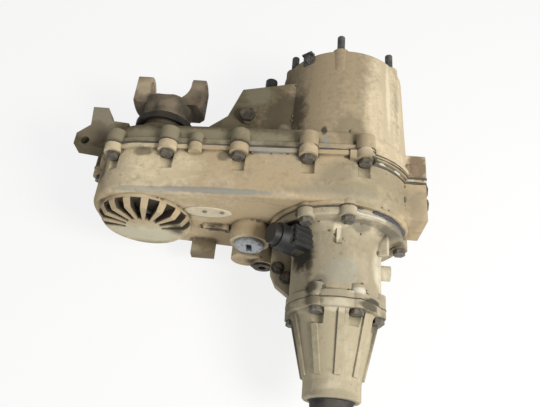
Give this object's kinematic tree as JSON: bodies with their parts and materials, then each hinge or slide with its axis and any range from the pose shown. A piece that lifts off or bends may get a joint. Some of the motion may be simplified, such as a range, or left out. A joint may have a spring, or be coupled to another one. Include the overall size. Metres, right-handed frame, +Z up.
{
  "type": "transfer case",
  "caption": "Chain-driven transfer case: round planetary housing, flat chain box, ribbed tail housing, front yoke, shift lever and plugs.",
  "frame": {"origin": "centre of the face that bolts to the transmission adapter, on the main shaft axis", "axes": "+Y towards the transmission along the main shaft, +Z up with the case lying level, +X away from the front output"},
  "size_m": [0.442, 0.462, 0.2014],
  "materials": {
    "cast_aluminium": "matt",
    "machined_steel": "satin",
    "forged_steel": "matt",
    "zinc_steel": "satin",
    "black_rubber": "matt",
    "black_plastic": "matt",
    "bronze": "satin"
  },
  "bodies": {
    "case": {"adapter_studs": "zinc_steel", "annulus_gear": "machined_steel", "case_bolts": "zinc_steel", "detent_plug": "zinc_steel", "detent_plunger": "machined_steel", "detent_spring": "machined_steel", "dowel_pins": "machined_steel", "drain_plug": "zinc_steel", "drive_chain": "machined_steel", "fill_plug": "zinc_steel", "front_case": "cast_aluminium", "front_output_bearing": "machined_steel", "front_output_rear_bearing": "machined_steel", "front_output_seal": "black_rubber", "input_bearing": "machined_steel", "input_seal": "black_rubber", "input_snap_ring": "machined_steel", "magnet": "machined_steel", "main_rear_bearing": "machined_steel", "main_snap_ring": "machined_steel", "mode_switch": "black_plastic", "oil_pump": "cast_aluminium", "oil_screen": "black_plastic", "pad_bolts": "zinc_steel", "pickup_tube": "machined_steel", "rear_case": "cast_aluminium", "rear_retainer": "cast_aluminium", "retainer_bolts": "zinc_steel", "shift_rail": "machined_steel", "shift_seal": "black_rubber", "speed_sensor": "black_plastic", "tail_bolts": "zinc_steel", "tail_bushing": "bronze", "tail_housing": "cast_aluminium", "tail_seal": "black_rubber", "vent": "zinc_steel"},
    "input": {"input_gear": "machined_steel"},
    "carrier": {"planet_carrier": "machined_steel", "planet_pins": "machined_steel"},
    "planet_1": {"planet_gear_1": "machined_steel"},
    "planet_2": {"planet_gear_2": "machined_steel"},
    "planet_3": {"planet_gear_3": "machined_steel"},
    "shaft": {"main_shaft": "machined_steel", "tone_wheel": "machined_steel", "pump_rotor": "machined_steel"},
    "range_sleeve": {"range_hub": "machined_steel"},
    "mode_sleeve": {"mode_hub": "machined_steel"},
    "sprocket": {"drive_sprocket": "machined_steel"},
    "front_output": {"front_output_shaft": "machined_steel", "driven_sprocket": "machined_steel", "front_yoke": "forged_steel", "slinger_ring": "forged_steel", "yoke_nut": "zinc_steel"},
    "selector": {"shift_shaft": "machined_steel", "shift_sector": "machined_steel", "shift_lever": "forged_steel"},
    "range_fork_body": {"range_fork": "forged_steel"},
    "mode_fork_body": {"mode_fork": "forged_steel"}
  },
  "joints": [
    {"name": "main_shaft_spin", "type": "hinge", "parent": "case", "child": "shaft", "pos_m": [0, 0, 0], "axis": [0, 1, 0], "continuous": true},
    {"name": "input_gear_spin", "type": "hinge", "parent": "case", "child": "input", "pos_m": [0, 0, 0], "axis": [0, 1, 0], "continuous": true},
    {"name": "carrier_spin", "type": "hinge", "parent": "case", "child": "carrier", "pos_m": [0, 0, 0], "axis": [0, 1, 0], "continuous": true},
    {"name": "planet_1_spin", "type": "hinge", "parent": "carrier", "child": "planet_1", "pos_m": [0, -0.056, 0.0495], "axis": [0, 1, 0], "continuous": true},
    {"name": "planet_2_spin", "type": "hinge", "parent": "carrier", "child": "planet_2", "pos_m": [-0.04287, -0.056, -0.02475], "axis": [0, 1, 0], "continuous": true},
    {"name": "planet_3_spin", "type": "hinge", "parent": "carrier", "child": "planet_3", "pos_m": [0.04287, -0.056, -0.02475], "axis": [0, 1, 0], "continuous": true},
    {"name": "drive_sprocket_spin", "type": "hinge", "parent": "case", "child": "sprocket", "pos_m": [0, 0, 0], "axis": [0, 1, 0], "continuous": true},
    {"name": "front_output_spin", "type": "hinge", "parent": "case", "child": "front_output", "pos_m": [-0.236, 0, 0.008], "axis": [0, 1, 0], "continuous": true},
    {"name": "shift_lever_swing", "type": "hinge", "parent": "case", "child": "selector", "pos_m": [-0.168, -0.1, 0.002], "axis": [1, 0, 0], "range_deg": [-35, 0]},
    {"name": "range_fork_slide", "type": "slide", "parent": "case", "child": "range_fork_body", "axis": [0, -1, 0], "range_m": [0, 0.017]},
    {"name": "range_sleeve_slide", "type": "slide", "parent": "shaft", "child": "range_sleeve", "axis": [0, -1, 0], "range_m": [0, 0.017]},
    {"name": "mode_fork_slide", "type": "slide", "parent": "case", "child": "mode_fork_body", "axis": [0, 1, 0], "range_m": [0, 0.009]},
    {"name": "mode_sleeve_slide", "type": "slide", "parent": "shaft", "child": "mode_sleeve", "axis": [0, 1, 0], "range_m": [0, 0.009]}
  ],
  "couplings": [
    {"joint": "input_gear_spin", "follows": "main_shaft_spin", "ratio": 1},
    {"joint": "carrier_spin", "follows": "main_shaft_spin", "ratio": 0.36667},
    {"joint": "planet_1_spin", "follows": "main_shaft_spin", "ratio": -1.7417},
    {"joint": "planet_2_spin", "follows": "main_shaft_spin", "ratio": -1.7417},
    {"joint": "planet_3_spin", "follows": "main_shaft_spin", "ratio": -1.7417},
    {"joint": "drive_sprocket_spin", "follows": "main_shaft_spin", "ratio": 1},
    {"joint": "front_output_spin", "follows": "main_shaft_spin", "ratio": 1},
    {"joint": "shift_lever_swing", "follows": "range_fork_slide", "rad_per_m": -35.93},
    {"joint": "range_sleeve_slide", "follows": "range_fork_slide", "ratio": 1},
    {"joint": "mode_sleeve_slide", "follows": "mode_fork_slide", "ratio": 1}
  ]
}
